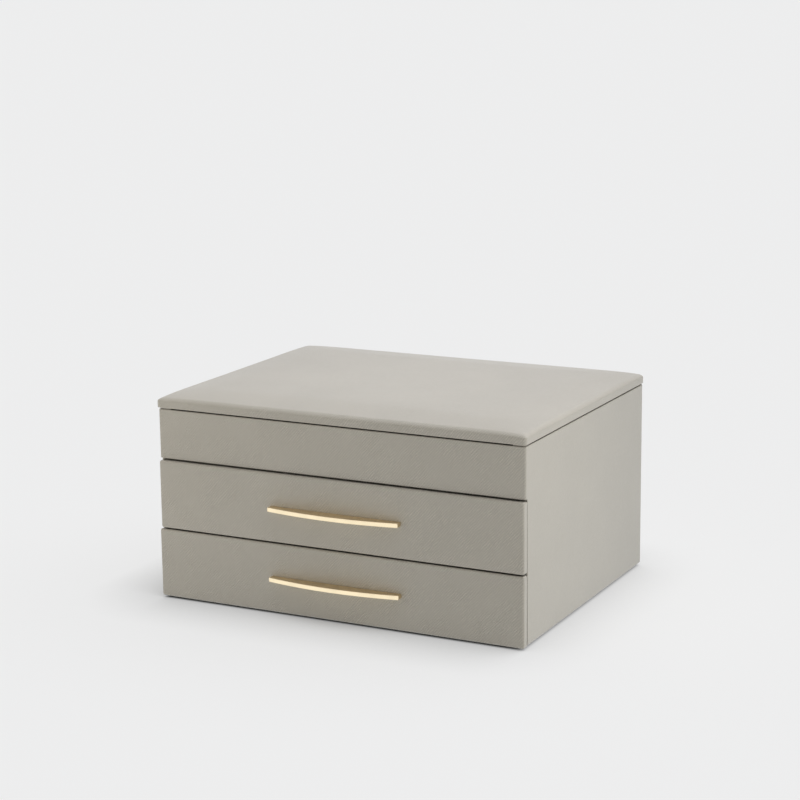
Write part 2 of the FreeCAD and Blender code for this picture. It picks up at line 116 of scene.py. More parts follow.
FLOOR_SHADE_LEAN = (0.38, 0.0, 0.92)  # leaning right, so that the painted shadow is heavier on the left

# --- Finishes ---
LEATHER_COLOUR = (0.490, 0.458, 0.390)
VELVET_COLOUR = (0.560, 0.520, 0.460)
SUEDE_COLOUR = (0.480, 0.450, 0.400)
FELT_COLOUR = (0.040, 0.037, 0.032)
FOAM_COLOUR = (0.700, 0.680, 0.600)
BRASS_COLOUR = (0.930, 0.760, 0.500)
STEEL_COLOUR = (0.560, 0.560, 0.560)
MIRROR_COLOUR = (0.930, 0.940, 0.940)
HATCH_PITCH = 1.5  # millimetres between the leatherette's strokes
HATCH_ANGLE = 47.0  # degrees, rising to the right
CREVICE_SHADE_REACH = 5.0  # millimetres from a fold or gap over which painted shade darkens the leatherette

# --- Wrapped forms, in millimetres ---
CASE_BACK_ROUND = 2.5
CASE_FRONT_ROUND = 1.5
CASE_BOTTOM_ROUND = 2.0
CASE_RIM_ROUND = 0.75
CASE_STEP_ROUND = 0.6
SEAM_HALF_WIDTH = 0.12
SEAM_DEPTH = 0.35
SEAM_FROM_EDGE = 14.0  # the butt seam's distance from the back's left edge
MITRE_REACH = 8.0
TURN_UNDER = 10.0  # the margin of leatherette glued under the case and under the lid
RIM_PAD = 8.5
FRONT_ROUND = 1.4
HANDLE_END_DEPTH = 4.8
HANDLE_EDGE = 0.3
DIVIDER_ROUND = 1.45
SLOT_PLAY = 0.05

# --- Padded forms, in millimetres ---
LID_STRAIGHT = 4.7  # height of the lid's upright edge
LID_CORNER = 2.5
LID_GRID_INSET = 2.5
LID_EDGE_STEPS = (0.0, 0.6, 1.4, 2.4, 3.7, 5.4, 7.6, 10.4, 13.8, 18.0, 22.6, 27.5)
LID_FOLD = 0.6
LID_ROLL = ((0.5, 0.35), (3.2, 3.2), (1.2, 14.0))  # (height, reach) of the tight roll, then of the padding
LID_CORNER_ROLL = (0.40, 35.0)  # share by which the padding's reach shrinks at a corner, and how far off
LID_CORNER_PULL = (0.50, 13.0)  # share of the height lost at a corner, and how far off
LID_SHIFT = -0.45  # the cover sits this far to the left of the board
LID_STRETCH = 0.35  # and reaches this much further at each side
LID_SWELL = 0.9
LID_CROWN = 0.45  # of the velvet round the mirror
MIRROR_BEVEL = 9.0
MIRROR_BEVEL_DROP = 0.5
RING_ROLLS = 6
RING_ROLL_GAP = 0.2
RING_ROLL_SWELL = 1.2
CLOTH_FRAMES = 20
CLOTH_PRESSURE = 4.0


# --- Node materials ---
class Nodes:
    """A node tree being built. A value is a number, a triple or another node's output."""

    def __init__(self, owner):
        owner.use_nodes = True
        self.tree = owner.node_tree
        self.tree.nodes.clear()

    def node(self, kind, values=(), **settings):
        """A new shader node; each value is fed to the input of that name or number."""
        made = self.tree.nodes.new("ShaderNode" + kind)
        for key, value in settings.items():
            setattr(made, key, value)
        for key, value in dict(values).items():
            self.feed(made.inputs[key], value)
        return made

    def feed(self, socket, value):
        if isinstance(value, bpy.types.NodeSocket):
            self.tree.links.new(value, socket)
        elif value is not None:
            socket.default_value = value

    def math(self, operation, a, b=None, c=None):
        return self.node("Math", {0: a, 1: b, 2: c}, operation=operation).outputs[0]

    def times(self, a, b):
        return self.math("MULTIPLY", a, b)

    def weighted(self, a, weight, more):
        """a times its weight, plus more."""
        return self.math("MULTIPLY_ADD", a, weight, more)

    def vector(self, operation, a, b):
        made = self.node("VectorMath", {0: a, 1: b}, operation=operation)
        return made.outputs["Value" if operation == "DOT_PRODUCT" else "Vector"]

    def parts(self, vector):
        return self.node("SeparateXYZ", {0: vector}).outputs

    def combine(self, x, y, z=0.0):
        return self.node("CombineXYZ", {0: x, 1: y, 2: z}).outputs[0]

    def mix(self, share, a, b, kind="FLOAT"):
        """a where share is 0, b where it is 1; kind is FLOAT, VECTOR or RGBA."""
        made = self.node("Mix", data_type=kind)
        wanted = {one.name: one for one in made.inputs if one.enabled}
        for name, value in (("Factor", share), ("A", a), ("B", b)):
            self.feed(wanted[name], value)
        return [one for one in made.outputs if one.enabled][0]


class Surface(Nodes):
    """A material being built, with the object's position in millimetres at hand."""

    def __init__(self, name):
        self.material = bpy.data.materials.new(name)
        super().__init__(self.material)
        self.finish = self.node("BsdfPrincipled")
        self.node("OutputMaterial", {"Surface": self.finish.outputs[0]})
        place = self.node("TexCoord").outputs
        self.normal = place["Normal"]
        self.place = self.scale(place["Object"], (1 / MM, 1 / MM, 1 / MM))

    def set(self, **values):
        """Sets the finish's inputs; an underscore in a name stands for a space."""
        for key, value in values.items():
            self.feed(self.finish.inputs[key.replace("_", " ")], value)

    def scale(self, vector, factors):
        return self.vector("MULTIPLY", vector, factors)

    def noise(self, vector, scale, detail=2.0, roughness=0.5):
        values = {"Vector": vector, "Scale": scale, "Detail": detail, "Roughness": roughness}
        return self.node("TexNoise", values).outputs["Fac"]

    def cells(self, vector, scale):
        values = {"Vector": vector, "Scale": scale}
        return self.node("TexVoronoi", values).outputs["Distance"]

    def openness(self, reach, normal=None, samples=16):
        """How little lies within reach: 1 in the open, 0 in a tight gap."""
        values = {"Distance": reach, "Normal": normal}
        return self.node("AmbientOcclusion", values, samples=samples).outputs["AO"]

    def spread(self, value, low, high, start=0.0, end=1.0):
        """The value's range low to high stretched to start to end, and held there."""
        values = {"Value": value, "From Min": low, "From Max": high, "To Min": start, "To Max": end}
        return self.node("MapRange", values).outputs["Result"]

    def tones(self, share, colour, dark, light=1.0):
        """The colour from dark to light times its brightness."""
        ends = [(*(one * factor for one in colour), 1.0) for factor in (dark, light)]
        return self.mix(share, *ends, "RGBA")

    def bump(self, height, depth, under=None):
        """A bump as deep as depth millimetres where height goes from 0 to 1."""
        values = {"Height": height, "Distance": depth * MM, "Strength": 1.0, "Normal": under}
        return self.node("Bump", values).outputs["Normal"]

    def sheet(self):
        """(across, up) in millimetres on a wrapped sheet, seen from outside its nearest box side."""
        place = self.parts(self.place)
        facing = self.parts(self.normal)
        size = [self.math("ABSOLUTE", one) for one in facing]
        sideways = self.math("GREATER_THAN", size[0], self.math("MAXIMUM", size[1], size[2]))
        level = self.math("GREATER_THAN", size[2], self.math("MAXIMUM", size[0], size[1]))
        along_y = self.times(place[1], self.math("SIGN", facing[0]))
        turned = self.times(self.math("SIGN", facing[1]), -1.0)
        along_x = self.times(place[0], self.mix(level, turned, 1.0))
        across = self.mix(sideways, along_x, along_y)
        return across, self.mix(level, place[2], place[1])

    def strokes(self, across, up, degrees, pitch):
        """Height, 0 to 1, of broken parallel strokes at an angle."""
        cosine = math.cos(math.radians(degrees))
        sine = math.sin(math.radians(degrees))
        along = self.math("ADD", self.times(across, cosine), self.times(up, sine))
        over = self.math("SUBTRACT", self.times(up, cosine), self.times(across, sine))
        wander = self.noise(self.combine(along, over), 0.16)
        turns = self.weighted(over, 1 / pitch, self.times(wander, 1.2))
        wave = self.math("SINE", self.times(turns, 2 * math.pi))
        ridge = self.spread(wave, -0.9, 0.9)
        broken = self.noise(self.combine(self.times(along, 0.28), over), 0.9)
        return self.times(ridge, self.spread(broken, 0.32, 0.62, 0.25, 1.0))


def leatherette():
    """Fine cross-grain leatherette: strong diagonal strokes, faint crossing ones, and pores.
    It is stretched smoother on the sides and top, and painted shade darkens its colour and shine in folds
    and gaps."""
    s = Surface("leatherette")
    across, up = s.sheet()
    strong = s.strokes(across, up, HATCH_ANGLE, HATCH_PITCH)
    faint = s.strokes(across, up, -HATCH_ANGLE, HATCH_PITCH * 0.8)
    pores = s.noise(s.place, 2.4)
    cloud = s.noise(s.place, 0.022, 3.0)
    patches = s.spread(s.noise(s.place, 0.07), 0.36, 0.62, 0.35, 1.0)
    facing = s.parts(s.normal)[1]
    stretched = s.weighted(s.times(facing, facing), 0.65, 0.35)
    hatch = s.math("SUBTRACT", s.weighted(faint, 0.4, strong), 0.45)
    hatch = s.times(s.times(hatch, patches), stretched)
    height = s.weighted(pores, 0.5, hatch)
    shade = s.weighted(hatch, 0.7, 0.15)
    shade = s.weighted(s.spread(cloud, 0.3, 0.7), 0.12, shade)
    # painted shade: ambient occlusion darkens the colour and the shine in folds and gaps
    painted_crevice_shade = s.spread(s.openness(CREVICE_SHADE_REACH * MM, samples=8), 0.08, 0.48, 0.12, 1.0)
    s.set(Base_Color=s.scale(s.tones(shade, LEATHER_COLOUR, 0.90, 1.30), painted_crevice_shade))
    s.set(Roughness=s.weighted(s.noise(s.place, 0.3, 3.0), 0.10, 0.38))
    s.set(Specular_IOR_Level=s.times(painted_crevice_shade, 0.45), Sheen_Weight=0.04, Sheen_Roughness=0.4)
    s.set(Normal=s.bump(height, 0.16, s.bump(cloud, 0.4)))
    return s.material


def velvet():
    """Short pile that shows where it was brushed."""
    s = Surface("velvet")
    brushed = s.noise(s.scale(s.place, (1.0, 0.45, 1.0)), 0.06, 3.0)
    pile = s.noise(s.place, 3.2, 3.0, 0.7)
    tufts = s.noise(s.place, 1.1)
    shade = s.weighted(s.spread(brushed, 0.3, 0.7), 0.4, s.times(pile, 0.6))
    s.set(Base_Color=s.tones(shade, VELVET_COLOUR, 0.90, 1.08), Roughness=0.95, Specular_IOR_Level=0.15)
    s.set(Sheen_Weight=0.45, Sheen_Roughness=0.35, Sheen_Tint=(0.95, 0.90, 0.82, 1.0))
    s.set(Normal=s.bump(pile, 0.10, s.bump(tufts, 0.12)))
    return s.material


def suede_paper():
    """The suede-like paper that covers the drawers' and the case's bare boards."""
    s = Surface("suede_paper")
    fibres = s.noise(s.scale(s.place, (0.5, 1.0, 1.0)), 2.6, 4.0, 0.65)
    blotches = s.noise(s.place, 0.05, 3.0)
    shade = s.weighted(blotches, 0.5, s.times(fibres, 0.5))
    s.set(Base_Color=s.tones(shade, SUEDE_COLOUR, 0.86, 1.10), Roughness=0.9, Specular_IOR_Level=0.2)
    s.set(Sheen_Weight=0.12, Normal=s.bump(fibres, 0.05))
    return s.material


def felt():
    """Dark pressed felt."""
    s = Surface("felt")
    fibres = s.noise(s.place, 1.8, 5.0, 0.75)
    s.set(Base_Color=s.tones(fibres, FELT_COLOUR, 0.7, 1.5), Roughness=1.0, Specular_IOR_Level=0.1)
    s.set(Sheen_Weight=0.15, Normal=s.bump(fibres, 0.25))
    return s.material


def foam():
    """Open-cell padding."""
    s = Surface("foam")
    pores = s.cells(s.place, 1.6)
    s.set(Base_Color=s.tones(pores, FOAM_COLOUR, 0.8), Roughness=0.95, Normal=s.bump(pores, 0.3))
    return s.material


def brass():
    """Polished brass with fine scratches along its length and a slight tarnish."""
    s = Surface("brass")
    scratches = s.noise(s.scale(s.place, (0.05, 1.0, 1.0)), 9.0, 3.0, 0.7)
    tarnish = s.noise(s.place, 0.12, 4.0)
    s.set(Base_Color=s.tones(s.spread(tarnish, 0.35, 0.65), BRASS_COLOUR, 0.93), Metallic=1.0)
    s.set(Roughness=s.weighted(scratches, 0.14, 0.22))
    s.set(Normal=s.bump(scratches, 0.004, s.bump(tarnish, 0.02)))
    return s.material


def steel():
    """Zinc-plated steel."""
    s = Surface("steel")
    grain = s.noise(s.scale(s.place, (0.2, 2.0, 2.0)), 3.0, 3.0)
    s.set(Base_Color=s.tones(grain, STEEL_COLOUR, 0.85), Metallic=1.0)
    s.set(Roughness=s.weighted(grain, 0.15, 0.22), Normal=s.bump(grain, 0.01))
    return s.material


def mirror():
    """Silvered glass with the faintest haze."""
    s = Surface("mirror")
    haze = s.noise(s.place, 0.05, 3.0)
    s.set(Base_Color=s.tones(haze, MIRROR_COLOUR, 0.985), Metallic=1.0)
    s.set(Roughness=s.spread(haze, 0.4, 0.8, 0.015, 0.04), Normal=s.bump(haze, 0.01))
    return s.material


# --- Grids and skins ---
def evenly(low, high, cell):
    """Places from low to high, about cell apart."""
    count = max(1, round((high - low) / cell))
    return [low + (high - low) * index / count for index in range(count + 1)]


def arc_offsets(radius):
    """How far past a side's straight part the lines of a rounded edge lie, over 45 degrees of it."""
    return [radius * math.tan(math.radians(angle)) for angle in (15, 30, 45)]


def lines(low, high, radius, cell, soft_low=True, soft_high=True):
    """Grid lines from low to high, close together where an edge is rounded."""
    start = low + radius if soft_low else low
    end = high - radius if soft_high else high
    places = evenly(start, end, cell) if end - start > 1e-7 else [(start + end) / 2]
    if soft_low:
        places = [start - offset for offset in reversed(arc_offsets(radius))] + places
    if soft_high:
        places = places + [end + offset for offset in arc_offsets(radius)]
    return places


def box_skin(grid, open_side=None):
    """(points, faces) of a box's surface with the grid's lines; open_side is (axis, end), end 0 or 1."""
    index = {}
    points = []
    faces = []

    def vertex(key):
        if key not in index:
            index[key] = len(points)
            points.append(Vector([grid[axis][key[axis]] for axis in range(3)]))
        return index[key]

    for axis in range(3):
        across = (axis + 1) % 3
        up = (axis + 2) % 3
        for end in (0, 1):
            if open_side == (axis, end):
                continue
            for i in range(len(grid[across]) - 1):
                for j in range(len(grid[up]) - 1):
                    corners = []
                    for step_i, step_j in ((0, 0), (1, 0), (1, 1), (0, 1)):
                        key = [0, 0, 0]
                        key[axis] = end * (len(grid[axis]) - 1)
                        key[across] = i + step_i
                        key[up] = j + step_j
                        corners.append(vertex(tuple(key)))
                    faces.append(corners if end else corners[::-1])
    return points, faces


def rounded(point, low, high, radius):
    """A point on a box's surface, moved onto the box with rounded edges."""
    core = Vector([min(max(point[i], low[i] + radius), high[i] - radius) for i in range(3)])
    out = point - core
    if out.length < 1e-9:
        return point.copy()
    return core + out.normalized() * radius


def open_edges(faces):
    """The directed edges that only one face uses."""
    used = {pair for face in faces for pair in zip(face, face[1:] + face[:1])}
    return [(a, b) for a, b in used if (b, a) not in used]


def slab_mesh(low, high, radius, cell, shape=None):
    """A closed box with rounded edges; shape(point) can move each point further."""
    grid = [lines(low[i], high[i], radius, cell) for i in range(3)]
    points, faces = box_skin(grid)
    points = [rounded(point, low, high, radius) for point in points]
    if shape:
        points = [shape(point) for point in points]
    return points, faces


def cup_mesh(outer, inner, open_side, radii, cell, rim):
    """A closed shell between two boxes that share an open side. radii are the outer and inner edges'
    rounding, and rim is how far the shell's edge is rounded over."""
    axis, end = open_side
    widest = max(radii)
    grid = []
    for i in range(3):
        grid.append(lines(outer[0][i], outer[1][i], widest, cell, (i, 0) != open_side, (i, 1) != open_side))
    points, faces = box_skin(grid, open_side)
    edges = open_edges(faces)
    sign = 1 if end else -1
    longer = [[corner.copy() for corner in box] for box in (outer, inner)]
    for box in longer:
        box[end][axis] += sign * widest
    outside = []
    inside = []
    for point in points:
        share = [(point[i] - outer[0][i]) / (outer[1][i] - outer[0][i]) for i in range(3)]
        within = Vector([inner[0][i] + share[i] * (inner[1][i] - inner[0][i]) for i in range(3)])
        outside.append(rounded(point, *longer[0], radii[0]) if radii[0] else point.copy())
        inside.append(rounded(within, *longer[1], radii[1]) if radii[1] else within)
    count = len(points)
    made = outside + inside
    quads = list(faces) + [[index + count for index in reversed(face)] for face in faces]
    close_rim(made, quads, edges, count, axis, sign * rim)
    return made, quads


def close_rim(points, faces, edges, count, axis, rim):
    """Joins the two skins of a cup round its open side; the rim is a half round that
    rises by rim along the axis."""
    steps = 6 if rim else 1
    rows = {}
    for index in sorted({index for edge in edges for index in edge}):
        outside = points[index]
        inside = points[index + count]
        row = [index]
        for step in range(1, steps):
            turn = math.pi * step / steps
            point = outside.lerp(inside, (1 - math.cos(turn)) / 2)
            point[axis] += rim * (math.sin(turn) - 1)
            row.append(len(points))
            points.append(point)
        row.append(index + count)
        rows[index] = row
    if rim:
        for row in rows.values():
            points[row[0]][axis] -= rim
            points[row[-1]][axis] -= rim
    for a, b in edges:
        for step in range(steps):
            faces.append([rows[b][step], rows[a][step], rows[a][step + 1], rows[b][step + 1]])


# --- Lofts round a rectangle ---
def stations(x_lines, y_lines, corner_steps):
    """Places round a rectangle, anticlockwise from its front left corner, as (share of the straight
    part in x, in y, outward direction, index of the grid line in x, in y)."""
    last_x = len(x_lines) - 1
    last_y = len(y_lines) - 1
    walk = []
    sides = (
        ([(i, 0) for i in range(last_x + 1)], 270),
        ([(last_x, j) for j in range(last_y + 1)], 0),
        ([(i, last_y) for i in range(last_x, -1, -1)], 90),
        ([(0, j) for j in range(last_y, -1, -1)], 180),
    )
    for cells, facing in sides:
        for i, j in cells:
            walk.append((i, j, facing))
        for step in range(1, corner_steps):
            walk.append((*cells[-1], facing + 90 * step / corner_steps))
    placed = []
    for i, j, facing in walk:
        share_x = 2 * (x_lines[i] - x_lines[0]) / (x_lines[-1] - x_lines[0]) - 1
        share_y = 2 * (y_lines[j] - y_lines[0]) / (y_lines[-1] - y_lines[0]) - 1
        turn = math.radians(facing)
        placed.append((share_x, share_y, Vector((math.cos(turn), math.sin(turn))), i, j))
    return placed


def ring(placed, half_x, half_y, radius, z):
    """One ring of points on a rounded rectangle centred on the Z axis."""
    points = []
    for share_x, share_y, out, _, _ in placed:
        x = share_x * (half_x - radius) + out.x * radius
        y = share_y * (half_y - radius) + out.y * radius
        points.append(Vector((x, y, z)))
    return points


def join_rings(faces, lower, upper):
    """Quads, or triangles where points coincide, between two rings of point indices."""
    count = len(lower)
    for index in range(count):
        following = (index + 1) % count
        corners = [lower[index], lower[following], upper[following], upper[index]]
        unique = [one for place, one in enumerate(corners) if one not in corners[:place]]
        if len(unique) > 2:
            faces.append(unique)


def add_ring(points, made):
    """Adds a ring's points and gives their indices."""
    points.extend(made)
    return list(range(len(points) - len(made), len(points)))


# --- Pieces ---
def new_object(name, points, faces):
    mesh = bpy.data.meshes.new(name)
    mesh.from_pydata([tuple(point) for point in points], [], faces)
    mesh.update()
    made = bpy.data.objects.new(name, mesh)
    bpy.context.scene.collection.objects.link(made)
    return made


def finish_piece(made, node, slot, sharp=50.0):
    """Gives a piece its finish and smooth shading, and puts it in the place of a CAD node."""
    made.data.polygons.foreach_set("use_smooth", [True] * len(made.data.polygons))
    made.data.set_sharp_from_angle(angle=math.radians(sharp))
    even = made.modifiers.new("even_shading", "WEIGHTED_NORMAL")
    even.keep_sharp = True
    made.data.materials.append(finishes[slot])
    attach(made, frame["nodes"][node]["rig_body"])
    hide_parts(node)


def drop_object(unwanted):
    mesh = unwanted.data
    bpy.data.objects.remove(unwanted)
    bpy.data.meshes.remove(mesh)


def applied(made):
    """Replaces an object's mesh by the one its modifiers give."""
    graph = bpy.context.evaluated_depsgraph_get()
    mesh = bpy.data.meshes.new_from_object(made.evaluated_get(graph))
    before = made.data
    made.modifiers.clear()
    made.data = mesh
    bpy.data.meshes.remove(before)


def cut(made, tools):
    """Cuts closed tool objects away from an object."""
    for tool in tools:
        modifier = made.modifiers.new("cut", "BOOLEAN")
        modifier.operation = "DIFFERENCE"
        modifier.solver = "EXACT"
        modifier.object = tool
        applied(made)
        drop_object(tool)


def block(low, high):
    """A plain box to cut with."""
    return new_object("tool", *box_skin([(low[i], high[i]) for i in range(3)]))


def leaf_recesses(body, outer_y, bottom, top):
    """Tools for the recesses that a body's two hinge leaves lie in."""
    tools = []
    for end in ("left", "right"):
        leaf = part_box(f"{body}_hinge_leaf_{end}")
        tools.append(block((leaf[0].x, leaf[0].y, bottom), (leaf[1].x, outer_y, top)))
    return tools


def wobble(point, amount, reach):
    """The point moved a little, as hand-laid cloth is."""
    return point + noise.noise_vector(point / reach) * amount


# --- Case ---
def bevel(solid, radius, steps, chosen):
    """Rounds the edges of a bmesh that chosen(a, b) picks by their end points."""
    picked = [edge for edge in solid.edges if chosen(edge.verts[0].co, edge.verts[1].co)]
    bmesh.ops.bevel(solid, geom=picked, offset=radius, offset_type="OFFSET", segments=steps,
                    profile=0.5, affect="EDGES")


def near(a, b):
    return abs(a - b) < 2e-6


def at(axis, place):
    """Picks edges with both ends at a place along an axis."""
    return lambda a, b: near(a[axis], place) and near(b[axis], place)


def case_form(inset):
    """The case's stepped outline as a solid with rounded edges, inset from its leatherette."""
    low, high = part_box("case_cover")
    leather = case_leather()
    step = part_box("side_board_left")[0].y - leather + inset
    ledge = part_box("tray_front_board")[0].z - leather + inset
    front = low.y + inset
    back = high.y - inset
    bottom = low.z + inset
    top = high.z - inset
    half = high.x - inset
    outline = ((step, bottom), (back, bottom), (back, top), (front, top), (front, ledge), (step, ledge))
    points = [Vector((-half, y, z)) for y, z in outline] + [Vector((half, y, z)) for y, z in outline]
    count = len(outline)
    faces = [list(range(count)), list(range(2 * count - 1, count - 1, -1))]
    for index in range(count):
        following = (index + 1) % count
        faces.append([following, index, index + count, following + count])
    made = new_object("case_wrap", points, faces)
    solid = bmesh.new()
    solid.from_mesh(made.data)
    bmesh.ops.recalc_face_normals(solid, faces=solid.faces)
    on_step = at(1, step)
    for y, radius, steps in ((back, CASE_BACK_ROUND, 6), (front, CASE_FRONT_ROUND, 5)):
        on_side = at(1, y)
        bevel(solid, radius * MM - inset, steps, lambda a, b: near(a.x, b.x) and on_side(a, b))
    on_bottom = at(2, bottom)
    bevel(solid, CASE_BOTTOM_ROUND * MM - inset, 5, lambda a, b: on_bottom(a, b) and not on_step(a, b))
    if not inset:

        def up_the_step(a, b):
            return on_step(a, b) and near(a.x, b.x) and near(abs(a.x), half)

        bevel(solid, CASE_RIM_ROUND * MM, 4, at(2, top))
        bevel(solid, CASE_STEP_ROUND * MM, 4, up_the_step)
    solid.to_mesh(made.data)
    solid.free()
    return made


def case_leather():
    """Thickness of the leatherette."""
    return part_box("tray_front_board")[0].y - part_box("case_cover")[0].y


def case_wrap():
    """Leatherette round the outside, over the rim and round the front edges, with its butt seam."""
    low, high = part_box("case_cover")
    leather = case_leather()
    inner_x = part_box("side_board_right")[0].x
    inner_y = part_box("back_board")[0].y
    edge_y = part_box("side_board_left")[0].y
    board_top = high.z - leather
    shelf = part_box("drawer_shelf_board")
    under = TURN_UNDER * MM
    past = 20 * MM  # how far the tools reach beyond the case
    made = case_form(0.0)
    tools = [
        case_form(leather),
        block((-inner_x, -inner_y, board_top - leather), (inner_x, inner_y, high.z + past)),
    ]
    lower = (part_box("base_board")[1].z, shelf[0].z)
    upper = (shelf[1].z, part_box("tray_floor_board")[0].z)
    for bottom, top in (lower, upper):
        tools.append(block((-inner_x, low.y - past, bottom), (inner_x, edge_y + leather, top)))
    margin_low = (low.x + under, edge_y - leather + under, low.z - past)
    tools.append(block(margin_low, (high.x - under, high.y - under, low.z + 2 * leather)))
    tools += leaf_recesses("case", high.y + past, board_top - leather, high.z + past)
    tools += case_seams(low, high, inner_x, inner_y)
    cut(made, tools)
    finish_piece(made, "case_cover", "leatherette", 30.0)


def case_seams(low, high, inner_x, inner_y):
    """Thin tools for the butt seam down the back and the mitred folds at the rim's corners."""
    size = Vector((SEAM_HALF_WIDTH, SEAM_DEPTH, SEAM_DEPTH)) * MM
    seam_x = low.x + SEAM_FROM_EDGE * MM
    tools = [block(Vector((seam_x, high.y, low.z)) - size, Vector((seam_x, high.y, high.z)) + size)]
    reach = Vector((MITRE_REACH, SEAM_HALF_WIDTH, SEAM_DEPTH)) * MM
    for sign_x in (-1, 1):
        for sign_y in (-1, 1):
            middle = Vector((sign_x * (inner_x + high.x) / 2, sign_y * (inner_y + high.y) / 2, high.z))
            turn = Matrix.Rotation(math.radians(45 * sign_x * sign_y), 4, "Z")
            tool = block(-reach, reach)
            tool.data.transform(Matrix.Translation(middle) @ turn)
            tools.append(tool)
    return tools


def base_felt():
    """Felt under the base, slightly uneven along its cut edge."""
    low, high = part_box("base_felt")
    points, faces = slab_mesh(low, high, 0.4 * MM, 4 * MM)
    for point in points:
        if low.z + 0.1 * MM < point.z:
            point += Vector((1, 1, 0)) * noise.noise(point / (3 * MM)) * 0.15 * MM
    finish_piece(new_object("base_felt_pad", points, faces), "base_felt", "felt")


def rim_pads():
    """Four small soft pads on the rim's corners, which the lid rests on."""
    low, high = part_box("rim_pads")
    size = Vector((RIM_PAD * MM, RIM_PAD * MM, high.z - low.z))
    points = []
    faces = []
    for x in (low.x, high.x - size.x):
        for y in (low.y, high.y - size.y):
            corner = Vector((x, y, low.z))
            pad, sides = slab_mesh(corner, corner + size, 0.25 * MM, 1 * MM)
            offset = len(points)
            for point in pad:
                points.append(wobble(point, 0.08 * MM, 2 * MM) if point.z > low.z + 0.1 * MM else point)
            faces.extend([index + offset for index in side] for side in sides)
    finish_piece(new_object("rim_felt_pads", points, faces), "rim_pads", "velvet")


# --- Tray ---
def velvet_panel(node, radius, uneven=0.12):
    """A velvet-covered card or board: soft edges and a slightly uneven face."""
    low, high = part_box(node)
    thin = min(high[i] - low[i] for i in range(3))
    radius = min(radius * MM, thin * 0.49)

    def shape(point):
        moved = wobble(point, uneven * MM, 14 * MM)
        return Vector([min(max(moved[i], low[i]), high[i]) for i in range(3)])

    return new_object(node + "_velvet", *slab_mesh(low, high, radius, 4 * MM, shape))


def tray_lining():
    """Velvet-covered card on the tray's floor and walls."""
    for side in ("floor_lining", "lining_left", "lining_right", "lining_front", "lining_back"):
        node = "tray_" + side
        finish_piece(velvet_panel(node, 0.6), node, "velvet")


def crossing(x, y, low, high, thickness):
    """A tool for the slot where two dividers cross at x, y."""
    half = thickness / 2 + SLOT_PLAY * MM
    return block((x - half, y - half, low), (x + half, y + half, high))


def slotted_dividers(long_node, crosses):
    """A long divider slotted from the top; the cross dividers, each (object, node, x), from below."""
    low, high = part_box(long_node)
    thickness = high.y - low.y
    y = (low.y + high.y) / 2
    middle = (low.z + high.z) / 2
    long_panel = velvet_panel(long_node, DIVIDER_ROUND, 0.0)
    for cross, node, x in crosses:
        cut(long_panel, [crossing(x, y, middle, high.z + thickness, thickness)])
        cut(cross, [crossing(x, y, low.z - thickness, middle, thickness)])
        finish_piece(cross, node, "velvet")
    finish_piece(long_panel, long_node, "velvet")


def tray_dividers():
    """The tray's long divider and its two cross dividers."""
    crosses = []
    for node in ("tray_divider_left", "tray_divider_right"):
        low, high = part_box(node)
        crosses.append((velvet_panel(node, DIVIDER_ROUND, 0.0), node, (low.x + high.x) / 2))
    slotted_dividers("tray_divider_long", crosses)


def ring_roll_mesh(length, width, height):
    """A padded roll along X, standing on z = 0: a tall half round with pulled-in ends."""
    across = 28
    end_round = 4 * MM
    pull_in = 0.14
    along = evenly(-length / 2, length / 2, 3 * MM)
    points = []
    faces = []
    for x in along:
        end = min(1.0, (length / 2 - abs(x)) / end_round)
        draw = 1 - pull_in + pull_in * math.sqrt(1 - (1 - end) ** 2)
        for step in range(across):
            turn = 2 * math.pi * step / across
            y = math.copysign(abs(math.cos(turn)) ** 0.7, math.cos(turn)) * width / 2 * draw
            rise = math.sin(turn)
            z = height / 2 + (rise if rise > 0 else -abs(rise) ** 0.35) * height / 2 * draw
            points.append(Vector((x, y, max(z, 0.0))))
    last = (len(along) - 1) * across
    for a in range(0, last, across):
        for step in range(across):
            following = (step + 1) % across
            b = a + across
            faces.append([a + step, a + following, b + following, b + step])
    faces.append(list(range(across)))
    faces.append([last + step for step in reversed(range(across))])
    return points, faces


def ring_rolls():
    """Padded velvet rolls side by side; each swells in a cloth simulation inside its place."""
    low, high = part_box("ring_rolls")
    gap = RING_ROLL_GAP * MM
    pitch = (high.y - low.y + gap) / RING_ROLLS
    size = Vector((high.x - low.x, pitch - gap, high.z - low.z))
    slack = Vector((1.0, 1.4, 0.8)) * MM  # room left for swelling
    first = new_object("ring_roll_1", *ring_roll_mesh(*(size - slack)))
    fix_normals(first)
    remesh = first.modifiers.new("remesh", "REMESH")
    remesh.mode = "VOXEL"
    remesh.voxel_size = 3 * MM
    applied(first)
    swell(first, [], RING_ROLL_SWELL * MM)
    smooth = first.modifiers.new("smooth", "SUBSURF")
    smooth.levels = 1
    smooth.render_levels = 1
    applied(first)
    sew_roll(first, size)
    rolls = [first]
    for index in range(1, RING_ROLLS):
        roll = first.copy()
        roll.name = f"ring_roll_{index + 1}"
        roll.data = first.data.copy()
        bpy.context.scene.collection.objects.link(roll)
        rolls.append(roll)
    for index, roll in enumerate(rolls):
        middle = Vector(((low.x + high.x) / 2, low.y + size.y / 2 + index * pitch, low.z))
        roll.data.transform(Matrix.Translation(middle))
        finish_piece(roll, "ring_rolls", "velvet", 80.0)


def sew_roll(roll, size):
    """Holds a roll inside its place and draws a seam round it near each end."""
    for vertex in roll.data.vertices:
        place = vertex.co
        place.x = min(max(place.x, -size.x / 2), size.x / 2)
        place.y = min(max(place.y, -size.y / 2), size.y / 2)
        place.z = min(max(place.z, 0.0), size.z)
        seam = math.exp(-((size.x / 2 - abs(place.x) - 5 * MM) / (0.8 * MM)) ** 2)
        if place.z > 1 * MM:
            place.y *= 1 - 0.03 * seam
            place.z -= 0.4 * MM * seam


def fix_normals(made):
    solid = bmesh.new()
    solid.from_mesh(made.data)
    bmesh.ops.recalc_face_normals(solid, faces=solid.faces)
    solid.to_mesh(made.data)
    solid.free()


